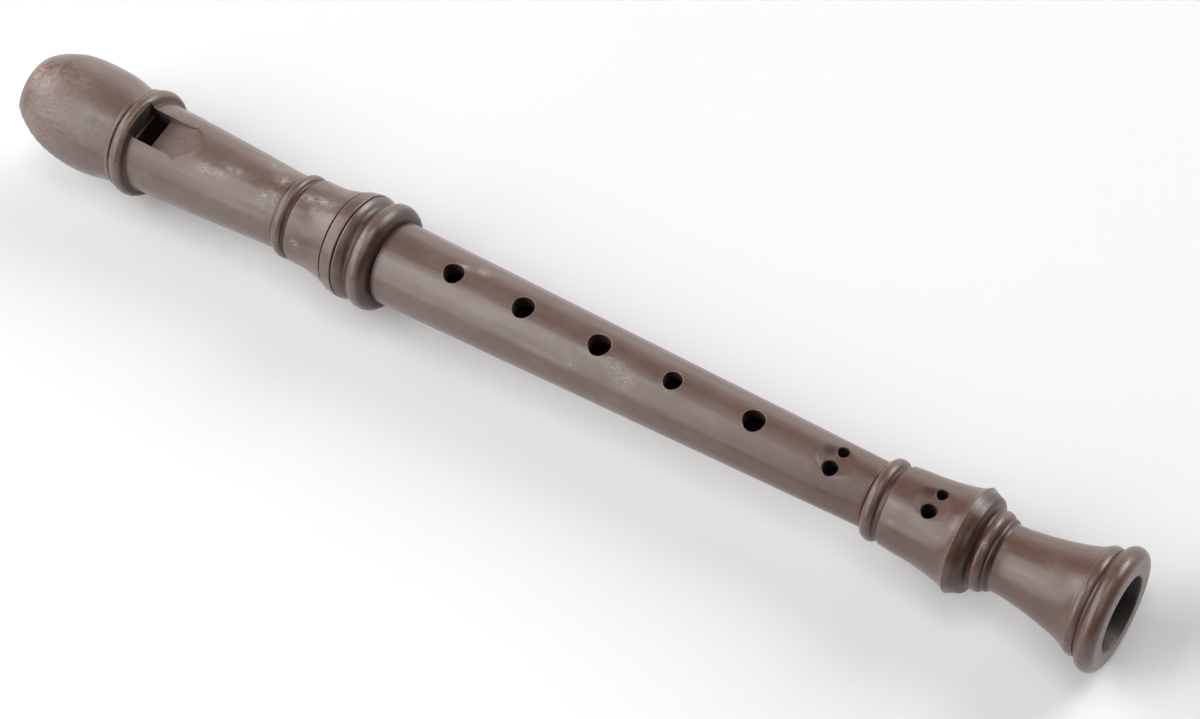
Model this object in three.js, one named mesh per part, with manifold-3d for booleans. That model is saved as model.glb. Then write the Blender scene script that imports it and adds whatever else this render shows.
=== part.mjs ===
// Soprano recorder in three sections, as a three.js scene graph.
//
// Lengths are millimetres. While the pieces are being shaped, x runs along the bore from the tip of the
// beak (0) to the bell, z points up through the window and the finger holes, and the bore's centre line
// is the x axis. The finished group is then moved so that the recorder lies on z = 0, centred on x.

import * as THREE from 'three';
import { mergeVertices } from 'three/addons/utils/BufferGeometryUtils.js';
import Module from 'manifold-3d';

const wasm = await Module();
wasm.setup();

// ---- Driving dimensions --------------------------------------------------------------------------

const overallLength = 325;
const bellRimRadius = 15.8;
const pieceGap = 0.3;
const turnedSides = 36;
const drilledSides = 18;

const capSeam = 34.2;
const bandSeam = 103.8;
const ringSeam = 108.0;
const socketMouth = 117.8;
const bodyTop = socketMouth + pieceGap;
const footSeam = 261.0;

const blockRadius = 7.0;
const blockEnd = 37.2;
const headBoreRadius = blockRadius + pieceGap;

const windway = { halfWidth: 5.0, floor: 7.6, ceiling: 9.0 };
const airWindow = { start: 37.6, halfWidth: 5.1, labium: 42.8, labiumTop: 7.9, labiumUnderside: 7.5 };
const ramp = { end: 59.5, endHeight: 12.15, wallsEnd: 50.5, flaredHalfWidth: 6.6, flareLength: 3.0 };

const beakCut = { radius: 54.4, centreX: -18, centreZ: -45.3, end: 29 };

const spigot = { start: 27.3, radius: 11.0 };
const socket = { start: 97.5, radius: 9.55, sleeveRadius: 10.9, sleeveEnd: 116.1 };
const footSocket = { end: 273.8, radius: 7.75 };

const upperTenon = { start: 98.1, radius: 9.2, grooveRadius: 8.3, grooveStart: 101.5, grooveEnd: 113.5 };
const lowerTenon = { end: 273.4, radius: 7.4, grooveRadius: 6.5, grooveStart: 263.3, grooveEnd: 271.3 };
const lappingThickness = 0.65;

const bodyRadius = { top: 11.06, bottom: 8.55 };
const bodyBore = { top: 6.4, bottom: 5.1 };
const footBoreRadius = 5.2;
const bellBoreRadius = 9.8;
const bellFaceRadius = 13.6;

const fingerHoles = [
  { x: 139.2, radius: 2.85 },
  { x: 160.4, radius: 3.0 },
  { x: 183.0, radius: 3.05 },
  { x: 204.3, radius: 2.5 },
  { x: 227.3, radius: 2.95 },
];
const thumbHole = { x: 131.0, radius: 2.7 };
const doubleHole = { spacing: 5.2, large: 1.95, small: 1.45, lean: 0.7, offset: 0.45 };
const bodyDoubleHoleX = 250.0;
const footDoubleHoleX = 276.8;
const dimple = { halfLength: 6, halfWidth: 7, halfHeight: 3.2, rise: 2.0 };

// ---- Outlines: lists of [x, radius] ---------------------------------------------------------------

/** A stretch that stands above the straight line between two points (a bead), or below it (a cove). */
function bulge([startX, startRadius], [endX, endRadius], rise, steps = 6) {
  const points = [];
  for (let i = 0; i <= steps; i += 1) {
    const angle = (Math.PI * i) / steps;
    const share = (1 - Math.cos(angle)) / 2;
    const chord = THREE.MathUtils.lerp(startRadius, endRadius, share);
    points.push([THREE.MathUtils.lerp(startX, endX, share), chord + rise * Math.sin(angle)]);
  }
  return points;
}

/** A smooth line through a few points. */
function flow(points, steps) {
  const curve = new THREE.SplineCurve(points.map(([x, radius]) => new THREE.Vector2(x, radius)));
  return curve.getPoints(steps).map((point) => [point.x, point.y]);
}

/** Revolves a closed outline about the bore's centre line. It runs along the outside, then back inside. */
function turned(outline) {
  const points = outline.map(([x, radius]) => new THREE.Vector2(radius, x));
  points.push(points[0].clone());
  const geometry = new THREE.LatheGeometry(points, turnedSides);
  geometry.rotateZ(-Math.PI / 2);
  return solidFrom(geometry);
}

// ---- Solids ---------------------------------------------------------------------------------------

/** Turns a closed three.js geometry into a solid that can be joined and cut. */
function solidFrom(geometry) {
  const bare = geometry.clone();
  bare.deleteAttribute('normal');
  bare.deleteAttribute('uv');
  const merged = mergeVertices(bare, 1e-4);
  const corners = merged.index.array;
  const kept = [];
  for (let i = 0; i < corners.length; i += 3) {
    const [a, b, c] = [corners[i], corners[i + 1], corners[i + 2]];
    if (a !== b && b !== c && c !== a) kept.push(a, b, c);
  }
  const mesh = new wasm.Mesh({
    numProp: 3,
    vertProperties: new Float32Array(merged.attributes.position.array),
    triVerts: new Uint32Array(kept),
  });
  return new wasm.Manifold(mesh);
}

/** A box given by its lowest and highest corners. */
function box([lowX, lowY, lowZ], [highX, highY, highZ]) {
  const geometry = new THREE.BoxGeometry(highX - lowX, highY - lowY, highZ - lowZ);
  geometry.translate((lowX + highX) / 2, (lowY + highY) / 2, (lowZ + highZ) / 2);
  return solidFrom(geometry);
}

/** A side outline, as [x, z] points, pulled across the recorder. */
function crossways(points, halfWidth) {
  const shape = new THREE.Shape(points.map(([x, z]) => new THREE.Vector2(x, z)));
  const geometry = new THREE.ExtrudeGeometry(shape, { depth: 2 * halfWidth, bevelEnabled: false });
  geometry.rotateX(Math.PI / 2);
  geometry.translate(0, halfWidth, 0);
  return solidFrom(geometry);
}

/** A plan outline, as [x, y] points, pulled upwards. */
function upwards(points, lowZ, highZ) {
  const shape = new THREE.Shape(points.map(([x, y]) => new THREE.Vector2(x, y)));
  const geometry = new THREE.ExtrudeGeometry(shape, { depth: highZ - lowZ, bevelEnabled: false });
  geometry.translate(0, 0, lowZ);
  return solidFrom(geometry);
}

/** A drill that goes from the bore's centre line out through the top wall, or the bottom wall. */
function drill(x, y, radius, side = 1) {
  const length = 20;
  const geometry = new THREE.CylinderGeometry(radius, radius, length, drilledSides);
  geometry.rotateX(Math.PI / 2);
  geometry.translate(x, y, (side * length) / 2);
  return solidFrom(geometry);
}

/** The pair of holes for a half tone, side by side in a shallow dimple. */
function doubleHoleCut(x, surfaceRadius) {
  const geometry = new THREE.SphereGeometry(1, 16, 12);
  geometry.scale(dimple.halfLength, dimple.halfWidth, dimple.halfHeight);
  geometry.translate(x, 0, surfaceRadius + dimple.rise);
  const middle = doubleHole.offset;
  const reach = doubleHole.spacing / 2;
  return solidFrom(geometry)
    .add(drill(x - doubleHole.lean / 2, middle - reach, doubleHole.large))
    .add(drill(x + doubleHole.lean / 2, middle + reach, doubleHole.small));
}

// ---- Materials ------------------------------------------------------------------------------------

const brownPlastic = () => new THREE.MeshStandardMaterial({ color: 0x4e3a33, roughness: 0.4, metalness: 0 });
const cork = () => new THREE.MeshStandardMaterial({ color: 0xa67c52, roughness: 0.9, metalness: 0 });

/** Makes the named mesh of a finished solid. */
function piece(name, solid, material) {
  const mesh = solid.getMesh();
  const geometry = new THREE.BufferGeometry();
  geometry.setAttribute('position', new THREE.BufferAttribute(mesh.vertProperties, 3));
  geometry.setIndex(new THREE.BufferAttribute(mesh.triVerts, 1));
  geometry.computeVertexNormals();
  const result = new THREE.Mesh(geometry, material);
  result.name = name;
  return result;
}

// ---- Beak -----------------------------------------------------------------------------------------

/** The space below the beak, a hollow arc that leaves a thin lip at the tip. */
function underBeak() {
  const steps = 10;
  const points = [];
  for (let i = 0; i <= steps; i += 1) {
    const x = THREE.MathUtils.lerp(-1, beakCut.end, i / steps);
    const height = Math.sqrt(beakCut.radius ** 2 - (x - beakCut.centreX) ** 2);
    points.push([x, beakCut.centreZ + height]);
  }
  points.push([beakCut.end, -20], [-1, -20]);
  return crossways(points, 20);
}

/** The slot over the block: the block's raised top slides along it and air runs above that. */
function windwaySlot(endX) {
  const width = windway.halfWidth;
  return box([-1, -width, blockRadius / 2], [endX, width, windway.ceiling]);
}

/** The bulb-shaped mouthpiece, pressed onto the head joint's spigot. */
function beakCap() {
  const end = capSeam - pieceGap / 2;
  const socketStart = spigot.start - pieceGap;
  const socketRadius = spigot.radius + pieceGap;
  const outline = [
    [0, headBoreRadius],
    [0, 11.2],
    ...flow([[0.8, 11.6], [3.2, 12.9], [9, 14.7], [16, 15.12], [23, 14.74], [28, 13.8], [31.6, 13.1]], 11),
    ...bulge([32.1, 13.1], [end, 13.6], 0.9, 5),
    [end, socketRadius],
    [socketStart, socketRadius],
    [socketStart, headBoreRadius],
  ];
  return turned(outline).subtract(underBeak()).subtract(windwaySlot(overallLength));
}

/** The block that closes the head and leaves the windway above it. */
function windwayBlock() {
  const geometry = new THREE.CylinderGeometry(blockRadius, blockRadius, blockEnd, turnedSides);
  geometry.rotateZ(-Math.PI / 2);
  geometry.translate(blockEnd / 2, 0, 0);
  const raisedWidth = windway.halfWidth - pieceGap;
  const raisedTop = box([0, -raisedWidth, 0], [blockEnd, raisedWidth, windway.floor]);
  return solidFrom(geometry).add(raisedTop).subtract(underBeak());
}

// ---- Head joint -----------------------------------------------------------------------------------

/** The opening behind the windway, with the ramp that rises from the labium to the outside. */
function windowCut() {
  const half = airWindow.halfWidth;
  const top = 20;
  const throat = box([airWindow.start, -half, blockRadius / 2], [airWindow.labium, half, top]);
  const underLabium = box(
    [airWindow.start, -half, blockRadius / 2],
    [ramp.wallsEnd, half, airWindow.labiumUnderside],
  );
  const rampSide = crossways([
    [airWindow.start, airWindow.labiumTop],
    [airWindow.labium, airWindow.labiumTop],
    [ramp.end, ramp.endHeight],
    [ramp.end, top],
    [airWindow.start, top],
  ], bellRimRadius);
  const flareEnd = ramp.wallsEnd + ramp.flareLength;
  const nearEdge = flow([
    [ramp.wallsEnd, half],
    [ramp.wallsEnd + ramp.flareLength / 2, half + 0.45],
    [flareEnd, ramp.flaredHalfWidth],
  ], 5);
  const farEdge = nearEdge.map(([x, y]) => [x, -y]).reverse();
  const rampPlan = upwards([
    [airWindow.start, half],
    ...nearEdge,
    [ramp.end, ramp.flaredHalfWidth],
    [ramp.end, -ramp.flaredHalfWidth],
    ...farEdge,
    [airWindow.start, -half],
  ], 0, top);
  return throat.add(underLabium).add(rampSide.intersect(rampPlan));
}

/** The head joint: ring, windowed tube and socket barrel, with a sleeve that carries the socket rings. */
function headJoint() {
  const start = capSeam + pieceGap / 2;
  const barrelEnd = bandSeam - pieceGap / 2;
  const outline = [
    [spigot.start, headBoreRadius],
    [spigot.start, spigot.radius],
    [start, spigot.radius],
    ...bulge([start, 13.8], [37.9, 13.8], 1.25, 6),
    [38.0, 13.2],
    [38.4, 12.45],
    ...flow([[48, 12.2], [60, 11.65], [72, 11.0], [81, 10.5], [85.6, 10.4]], 6),
    ...bulge([86.2, 10.5], [89.2, 10.7], 1.1, 5),
    ...bulge([89.4, 10.6], [90.4, 10.8], -0.25, 3),
    ...flow([[90.9, 11.55], [95, 11.6], [99, 12.1], [barrelEnd, 13.3]], 5),
    [barrelEnd, socket.sleeveRadius],
    [socket.sleeveEnd, socket.sleeveRadius],
    [socket.sleeveEnd, socket.radius],
    [socket.start, socket.radius],
    [socket.start, headBoreRadius],
  ];
  return turned(outline).subtract(windwaySlot(airWindow.start)).subtract(windowCut());
}

/** The plain band on the sleeve, next to the barrel. */
function socketBand() {
  const inside = socket.sleeveRadius + pieceGap;
  const start = bandSeam + pieceGap / 2;
  const end = ringSeam - pieceGap / 2;
  return turned([
    [start, inside],
    [start, 13.75],
    [start + 0.3, 13.95],
    [end - 0.3, 14.4],
    [end, 14.2],
    [end, inside],
  ]);
}

/** The ring at the socket's mouth: a shoulder, a deep cove, and a heavy torus with a lip inside. */
function socketRing() {
  const inside = socket.sleeveRadius + pieceGap;
  const start = ringSeam + pieceGap / 2;
  const lipStart = socket.sleeveEnd + pieceGap;
  return turned([
    [start, inside],
    [start, 14.1],
    ...flow([[start + 0.5, 14.3], [109.6, 13.7], [110.4, 12.9], [111.3, 12.55], [112.1, 12.8]], 6),
    ...bulge([112.4, 13.0], [socketMouth, 12.1], 2.0, 7),
    [socketMouth, socket.radius],
    [lipStart, socket.radius],
    [lipStart, inside],
  ]);
}

// ---- Middle joint ---------------------------------------------------------------------------------

/** The tapering body tube with its two tenons and its holes. */
function middleJoint() {
  const bodyEnd = footSeam - pieceGap / 2;
  const outline = [
    [upperTenon.start, bodyBore.top],
    [upperTenon.start, upperTenon.radius - 0.5],
    [upperTenon.start + 0.5, upperTenon.radius],
    [upperTenon.grooveStart, upperTenon.radius],
    [upperTenon.grooveStart, upperTenon.grooveRadius],
    [upperTenon.grooveEnd, upperTenon.grooveRadius],
    [upperTenon.grooveEnd, upperTenon.radius],
    [bodyTop, upperTenon.radius],
    [bodyTop, bodyRadius.top - 0.3],
    [bodyTop + 0.3, bodyRadius.top],
    [bodyEnd - 0.3, bodyRadius.bottom],
    [bodyEnd, bodyRadius.bottom - 0.3],
    [bodyEnd, lowerTenon.radius],
    [lowerTenon.grooveStart, lowerTenon.radius],
    [lowerTenon.grooveStart, lowerTenon.grooveRadius],
    [lowerTenon.grooveEnd, lowerTenon.grooveRadius],
    [lowerTenon.grooveEnd, lowerTenon.radius],
    [lowerTenon.end - 0.4, lowerTenon.radius],
    [lowerTenon.end, lowerTenon.radius - 0.4],
    [lowerTenon.end, bodyBore.bottom],
  ];
  const share = (bodyDoubleHoleX - bodyTop) / (bodyEnd - bodyTop);
  const radiusAtDoubleHole = THREE.MathUtils.lerp(bodyRadius.top, bodyRadius.bottom, share);
  let solid = turned(outline);
  for (const hole of fingerHoles) {
    solid = solid.subtract(drill(hole.x, 0, hole.radius));
  }
  solid = solid.subtract(drill(thumbHole.x, 0, thumbHole.radius, -1));
  return solid.subtract(doubleHoleCut(bodyDoubleHoleX, radiusAtDoubleHole));
}

/** The cork sleeve in a tenon's groove. */
function lapping(tenon) {
  const inside = tenon.grooveRadius + pieceGap;
  const outside = inside + lappingThickness;
  const start = tenon.grooveStart + pieceGap;
  const end = tenon.grooveEnd - pieceGap;
  return turned([[start, inside], [start, outside], [end, outside], [end, inside]]);
}

// ---- Foot joint -----------------------------------------------------------------------------------

/** The foot joint: bead, flared cone with the last double hole, waist and bell. */
function footJoint() {
  const start = footSeam + pieceGap / 2;
  const surfaceRadiusAtHole = 11.2;
  const outline = [
    [start, footSocket.radius],
    [start, 9.3],
    ...bulge([start + 0.1, 9.5], [264.4, 9.7], 1.0, 5),
    ...bulge([264.5, 9.6], [265.9, 9.9], -0.2, 3),
    ...flow([[266.2, 10.25], [270, 10.6], [275, 11.0], [280, 11.75], [283.5, 12.6], [285.4, 13.6]], 7),
    ...flow([[286.1, 13.2], [287.4, 12.6], [288.5, 12.2], [289.1, 11.4]], 3),
    [289.6, 9.8],
    ...bulge([290.2, 9.5], [292.8, 9.3], 0.85, 4),
    ...bulge([293.1, 9.0], [294.3, 8.8], 0.35, 2),
    ...flow([[294.9, 8.45], [298, 8.6], [304, 9.5], [310, 10.8], [314, 12.0], [316.4, 13.2]], 6),
    ...bulge([316.7, 13.3], [319.3, 13.3], 0.5, 3),
    ...bulge([320.0, bellFaceRadius], [overallLength, bellFaceRadius], bellRimRadius - bellFaceRadius, 8),
    [overallLength, bellBoreRadius],
    ...flow([[overallLength - 0.6, 9.5], [318, 8.0], [308, 6.2], [298, footBoreRadius]], 4),
    [footSocket.end, footBoreRadius],
    [footSocket.end, footSocket.radius],
  ];
  return turned(outline).subtract(doubleHoleCut(footDoubleHoleX, surfaceRadiusAtHole));
}

// ---- Assembly -------------------------------------------------------------------------------------

const head = new THREE.Group();
head.add(
  piece('beak_cap', beakCap(), brownPlastic()),
  piece('windway_block', windwayBlock(), brownPlastic()),
  piece('head_joint', headJoint(), brownPlastic()),
  piece('socket_band', socketBand(), brownPlastic()),
  piece('socket_ring', socketRing(), brownPlastic()),
);

const body = new THREE.Group();
body.add(
  piece('middle_joint', middleJoint(), brownPlastic()),
  piece('upper_lapping', lapping(upperTenon), cork()),
  piece('lower_lapping', lapping(lowerTenon), cork()),
);

const foot = new THREE.Group();
foot.add(piece('foot_joint', footJoint(), brownPlastic()));

const recorder = new THREE.Group();
recorder.add(head, body, foot);
recorder.position.set(-overallLength / 2, 0, bellRimRadius);

export default recorder;
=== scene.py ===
"""Soprano recorder for Object Factory: the finished look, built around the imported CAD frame.

Shapes are drawn in millimetres, as the CAD source draws them: x runs along the bore from the tip of
the beak (0) to the bell (325), z points up through the finger holes, and the x axis is the bore's
centre line. Each finished mesh is then moved into the frame's own place, in metres.
"""

import math

import bmesh
import bpy
import numpy as np
from mathutils import Matrix, Vector


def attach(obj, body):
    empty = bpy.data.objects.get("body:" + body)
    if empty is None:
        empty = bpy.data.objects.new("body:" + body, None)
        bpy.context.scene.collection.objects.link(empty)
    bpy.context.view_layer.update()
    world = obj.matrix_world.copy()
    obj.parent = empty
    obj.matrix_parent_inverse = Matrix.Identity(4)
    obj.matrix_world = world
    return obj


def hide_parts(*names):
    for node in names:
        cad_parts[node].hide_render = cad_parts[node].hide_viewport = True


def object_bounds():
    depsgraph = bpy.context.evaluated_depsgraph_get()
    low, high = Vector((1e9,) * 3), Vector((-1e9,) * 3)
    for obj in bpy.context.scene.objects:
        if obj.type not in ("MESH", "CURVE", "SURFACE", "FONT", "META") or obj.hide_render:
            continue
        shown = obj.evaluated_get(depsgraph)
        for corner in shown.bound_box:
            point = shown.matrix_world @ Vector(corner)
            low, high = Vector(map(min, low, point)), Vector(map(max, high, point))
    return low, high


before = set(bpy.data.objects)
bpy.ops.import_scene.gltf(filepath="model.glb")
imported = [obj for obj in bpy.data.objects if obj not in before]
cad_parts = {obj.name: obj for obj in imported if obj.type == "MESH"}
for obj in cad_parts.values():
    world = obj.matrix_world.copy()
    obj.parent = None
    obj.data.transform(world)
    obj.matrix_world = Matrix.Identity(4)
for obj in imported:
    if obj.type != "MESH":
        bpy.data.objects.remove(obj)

# ---- Driving dimensions, in millimetres ----------------------------------------------------------

# The frame's box, in metres, gives the recorder's length and the place of its centre line.
MM = 0.001
CAD_LOW, CAD_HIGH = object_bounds()
LENGTH = (CAD_HIGH.x - CAD_LOW.x) / MM
AXIS_HEIGHT = (CAD_LOW.z + CAD_HIGH.z) / 2
TO_FRAME = Matrix.Translation((CAD_LOW.x, 0, AXIS_HEIGHT)) @ Matrix.Scale(MM, 4)

# How finely round shapes are drawn: the corners in a full turn, and the longest step along x.
SIDES = 192
HOLE_SIDES = 56
DIMPLE_SIDES = 96
RING_SPACING = 1.2

# Places outside the recorder, for the open ends of cutters.
FAR_OUT = 20
BEFORE_TIP = -1

# Places along the bore. Each seam is a narrow gap between two pieces.
SEAM = 0.16
FOOT_GAP = 0.3
CAP_SEAM = 34.2
BAND_SEAM = 103.8
RING_SEAM = 108.0
SOCKET_MOUTH = 117.8
BODY_TOP = 118.1
FOOT_SEAM = 261.0

# The head: the block in its bore, the windway over the block, the window, and the ramp behind it.
BLOCK_RADIUS = 7.0
BLOCK_END = 37.2
HEAD_BORE = 7.15
WINDWAY = {"half_width": 5.0, "floor": 7.6, "ceiling": 9.0}
WINDOW = {"start": 37.6, "half_width": 5.1, "labium": 42.8, "labium_top": 7.9, "underside": 7.5}
RAMP = {"end": 59.5, "end_height": 12.15, "walls_end": 50.5, "flare": 3.0, "flared_half_width": 6.6}
WINDOW_EDGE = 0.22

# The arc that hollows the beak's underside, as a circle seen from the side.
BEAK_CUT = {"radius": 54.4, "centre_x": -18.0, "centre_z": -45.3, "end": 29.0}

# The sockets, the tenons that go into them, and the cork in the tenons' grooves.
FIT_GAP = 0.1
SPIGOT = {"start": 27.3, "radius": 11.0}
SOCKET = {"start": 97.5, "radius": 9.55, "sleeve_radius": 10.9, "sleeve_end": 116.1}
FOOT_SOCKET = {"end": 273.8, "radius": 7.75}
UPPER_TENON = {
    "start": 98.1,
    "radius": 9.2,
    "chamfer": 0.5,
    "groove": (101.5, 113.5),
    "groove_radius": 8.3,
}
LOWER_TENON = {
    "end": 273.4,
    "radius": 7.4,
    "chamfer": 0.4,
    "groove": (263.3, 271.3),
    "groove_radius": 6.5,
}
LAPPING_GAP = 0.3
LAPPING_THICKNESS = 0.65

# The body tube and its bore taper from the first radius to the second.
BODY_RADIUS = (11.06, 8.55)
BODY_CHAMFER = 0.3
BODY_BORE = (6.4, 5.1)
FOOT_BORE = 5.2
BELL_BORE = 9.8
BELL_FACE = 13.6
BELL_RIM = 15.8

# Each hole is (place along the bore, radius). A double hole is two holes across one dimple.
FINGER_HOLES = [(139.2, 2.85), (160.4, 3.0), (183.0, 3.05), (204.3, 2.5), (227.3, 2.95)]
THUMB_HOLE = (131.0, 2.7)
BODY_DOUBLE_HOLE = 250.0
FOOT_DOUBLE_HOLE = 276.8
DOUBLE_HOLE = {"spacing": 5.2, "large": 1.95, "small": 1.45, "lean": 0.7, "offset": 0.45}
DIMPLE = {"half_length": 5.4, "half_width": 4.8, "depth": 0.8}
HOLE_EDGE = 0.28
HOLE_WOBBLE = 0.018

# ---- Outlines: lists of (x, radius) --------------------------------------------------------------


def lerp(a, b, share):
    return a + (b - a) * share


def point_between(start, end, share):
    return lerp(start[0], end[0], share), lerp(start[1], end[1], share)


def bulge(start, end, rise, steps=18):
    """A stretch that stands above the straight line between two points, or below it (a cove)."""
    points = []
    for i in range(steps + 1):
        angle = math.pi * i / steps
        x, radius = point_between(start, end, (1 - math.cos(angle)) / 2)
        points.append((x, radius + rise * math.sin(angle)))
    return points


def catmull_rom(a, b, c, d, t):
    """The smooth curve from b (where t is 0) to c (where t is 1), with a and d beyond them."""
    slope_b = (c - a) / 2
    slope_c = (d - b) / 2
    return (
        b
        + slope_b * t
        + (-3 * b + 3 * c - 2 * slope_b - slope_c) * t**2
        + (2 * b - 2 * c + slope_b + slope_c) * t**3
    )


def flow(points, steps):
    """A smooth line through a few points."""
    last = len(points) - 1
    result = []
    for i in range(steps + 1):
        place = last * i / steps
        k = min(int(place), last - 1)
        nearest = [points[min(max(j, 0), last)] for j in (k - 1, k, k + 1, k + 2)]
        result.append(tuple(catmull_rom(*values, place - k) for values in zip(*nearest)))
    return result


def softened(points, size, closed, steps=4, least_turn=math.radians(24)):
    """Rounds each sharp corner of an outline by up to the given size."""
    most_of_a_side = 0.45
    count = len(points)
    result = []
    for i, corner in enumerate(points):
        if not closed and i in (0, count - 1):
            result.append(corner)
            continue
        here = Vector(corner)
        back = Vector(points[i - 1]) - here
        ahead = Vector(points[(i + 1) % count]) - here
        if math.pi - back.angle(ahead, math.pi) < least_turn:
            result.append(corner)
            continue
        reach = min(size, most_of_a_side * back.length, most_of_a_side * ahead.length)
        first = here + back.normalized() * reach
        final = here + ahead.normalized() * reach
        for k in range(steps + 1):
            t = k / steps
            result.append(tuple(first.lerp(here, t).lerp(here.lerp(final, t), t)))
    return result


def spaced(points, spacing):
    """Adds points so that no two neighbours are further apart than the spacing."""
    result = [points[0]]
    for start, end in zip(points, points[1:]):
        parts = max(1, math.ceil(math.dist(start, end) / spacing))
        result += [point_between(start, end, k / parts) for k in range(1, parts + 1)]
    return result


CAP_END = CAP_SEAM - SEAM / 2
HEAD_START = CAP_SEAM + SEAM / 2
BARREL_END = BAND_SEAM - SEAM / 2
BAND_START = BAND_SEAM + SEAM / 2
BAND_END = RING_SEAM - SEAM / 2
RING_START = RING_SEAM + SEAM / 2
BODY_END = FOOT_SEAM - FOOT_GAP / 2
FOOT_START = FOOT_SEAM + FOOT_GAP / 2

CAP_OUTSIDE = (
    [(0, 10.3), (0, 11.2)]
    + flow(
        [(0.8, 11.6), (3.2, 12.9), (9, 14.7), (16, 15.12), (23, 14.74), (28, 13.8), (31.6, 13.1)],
        60,
    )
    + bulge((32.1, 13.1), (CAP_END, 13.6), 0.9)  # narrow ring
    + [(CAP_END, 12.6)]
)
HEAD_OUTSIDE = (
    [(HEAD_START, 12.6)]
    + bulge((HEAD_START, 13.8), (37.9, 13.8), 1.25)  # big ring
    + [(38.0, 13.2), (38.4, 12.45)]
    + flow([(48, 12.2), (60, 11.65), (72, 11.0), (81, 10.5), (85.6, 10.4)], 40)  # tube
    + bulge((86.2, 10.5), (89.2, 10.7), 1.1)  # bead
    + bulge((89.4, 10.6), (90.4, 10.8), -0.25, 8)
    + flow([(90.9, 11.55), (95, 11.6), (99, 12.1), (BARREL_END, 13.45)], 20)  # barrel
    + [(BARREL_END, 12.2)]
)
BAND_OUTSIDE = [
    (BAND_START, 12.2),
    (BAND_START, 13.35),
    (BAND_SEAM + 0.6, 13.9),
    (RING_SEAM - 0.5, 14.4),
    (BAND_END, 14.2),
    (BAND_END, 12.2),
]
RING_OUTSIDE = (
    [(RING_START, 12.2), (RING_START, 14.1)]
    + flow([(108.65, 14.3), (109.6, 13.7), (110.4, 12.9), (111.3, 12.55), (112.1, 12.8)], 24)
    + bulge((112.4, 13.0), (SOCKET_MOUTH, 12.1), 2.0, 26)  # heavy ring
)
BODY_OUTSIDE = [
    (BODY_TOP, BODY_RADIUS[0] - BODY_CHAMFER),
    (BODY_TOP + BODY_CHAMFER, BODY_RADIUS[0]),
    (BODY_END - BODY_CHAMFER, BODY_RADIUS[1]),
    (BODY_END, BODY_RADIUS[1] - BODY_CHAMFER),
]
FOOT_OUTSIDE = (
    [(FOOT_START, 9.3)]
    + bulge((FOOT_START + 0.1, 9.5), (264.4, 9.7), 1.0)  # bead
    + bulge((264.5, 9.6), (265.9, 9.9), -0.2, 8)
    + flow(
        [(266.2, 10.25), (270, 10.6), (275, 11.0), (280, 11.75), (283.5, 12.6), (285.4, 13.6)],
        30,
    )
    + flow([(286.1, 13.2), (287.4, 12.6), (288.5, 12.2), (289.1, 11.4)], 12)
    + [(289.6, 9.8)]
    + bulge((290.2, 9.5), (292.8, 9.3), 0.85)  # the waist's two beads
    + bulge((293.1, 9.0), (294.3, 8.8), 0.35, 10)
    + flow([(294.9, 8.45), (298, 8.6), (304, 9.5), (310, 10.8), (314, 12.0), (316.4, 13.2)], 36)
    + bulge((316.7, 13.3), (319.3, 13.3), 0.5, 14)
    + bulge((320.0, BELL_FACE), (LENGTH, BELL_FACE), BELL_RIM - BELL_FACE, 30)  # bell's rim
)

OUTSIDES = [CAP_OUTSIDE, HEAD_OUTSIDE, BAND_OUTSIDE, RING_OUTSIDE, BODY_OUTSIDE, FOOT_OUTSIDE]
PROFILE_X = np.array([x for outside in OUTSIDES for x, _ in outside])
PROFILE_RADIUS = np.array([radius for outside in OUTSIDES for _, radius in outside])


def outer_radius(x):
    """The radius of the whole recorder's outside at x."""
    return float(np.interp(x, PROFILE_X, PROFILE_RADIUS))


def round_surface(x, y):
    """The height of the outside above the bore's centre line at (x, y)."""
    return math.sqrt(max(outer_radius(x) ** 2 - y**2, 0.01))


# ---- Meshes --------------------------------------------------------------------------------------


def mesh_object(name, faces_of):
    """Makes an object from a function that fills a bmesh, with its faces turned outwards."""
    shape = bmesh.new()
    faces_of(shape)
    bmesh.ops.recalc_face_normals(shape, faces=shape.faces)
    mesh = bpy.data.meshes.new(name)
    shape.to_mesh(mesh)
    shape.free()
    thing = bpy.data.objects.new(name, mesh)
    bpy.context.scene.collection.objects.link(thing)
    return thing


def full_turn(sides):
    """The angles of the corners of a full turn."""
    return [2 * math.pi * k / sides for k in range(sides)]


def circle_ring(shape, x, radius):
    """A ring of vertices round the bore at x."""
    return [
        shape.verts.new((x, radius * math.sin(turn), radius * math.cos(turn)))
        for turn in full_turn(SIDES)
    ]


def level_ring(shape, ring, height):
    """A copy of a ring with all its vertices at one height."""
    return [shape.verts.new((vertex.co.x, vertex.co.y, height)) for vertex in ring]


def bridge(shape, rings, closed):
    """Joins rings of equal size with quads. A closed list joins its last ring to its first."""
    for i in range(0 if closed else 1, len(rings)):
        one, two = rings[i - 1], rings[i]
        for k in range(len(one)):
            shape.faces.new((one[k - 1], one[k], two[k], two[k - 1]))


def capped(shape, rings):
    """Joins rings of equal size into a solid, with a flat face over the first and the last."""
    bridge(shape, rings, closed=False)
    shape.faces.new(rings[0])
    shape.faces.new(rings[-1])


def turned(name, outside, inside, corner=0.25):
    """Revolves an outline about the bore. It runs along the outside, then back along the inside."""
    outside = spaced(softened(outside, corner, closed=False), RING_SPACING)
    outline = softened(outside + inside, corner, closed=True)

    def fill(shape):
        bridge(shape, [circle_ring(shape, x, radius) for x, radius in outline], closed=True)

    return mesh_object(name, fill)


def rod(name, start, end, radius):
    """A plain round rod along the bore's centre line."""

    def fill(shape):
        capped(shape, [circle_ring(shape, x, radius) for x in (start, end)])

    return mesh_object(name, fill)


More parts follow.
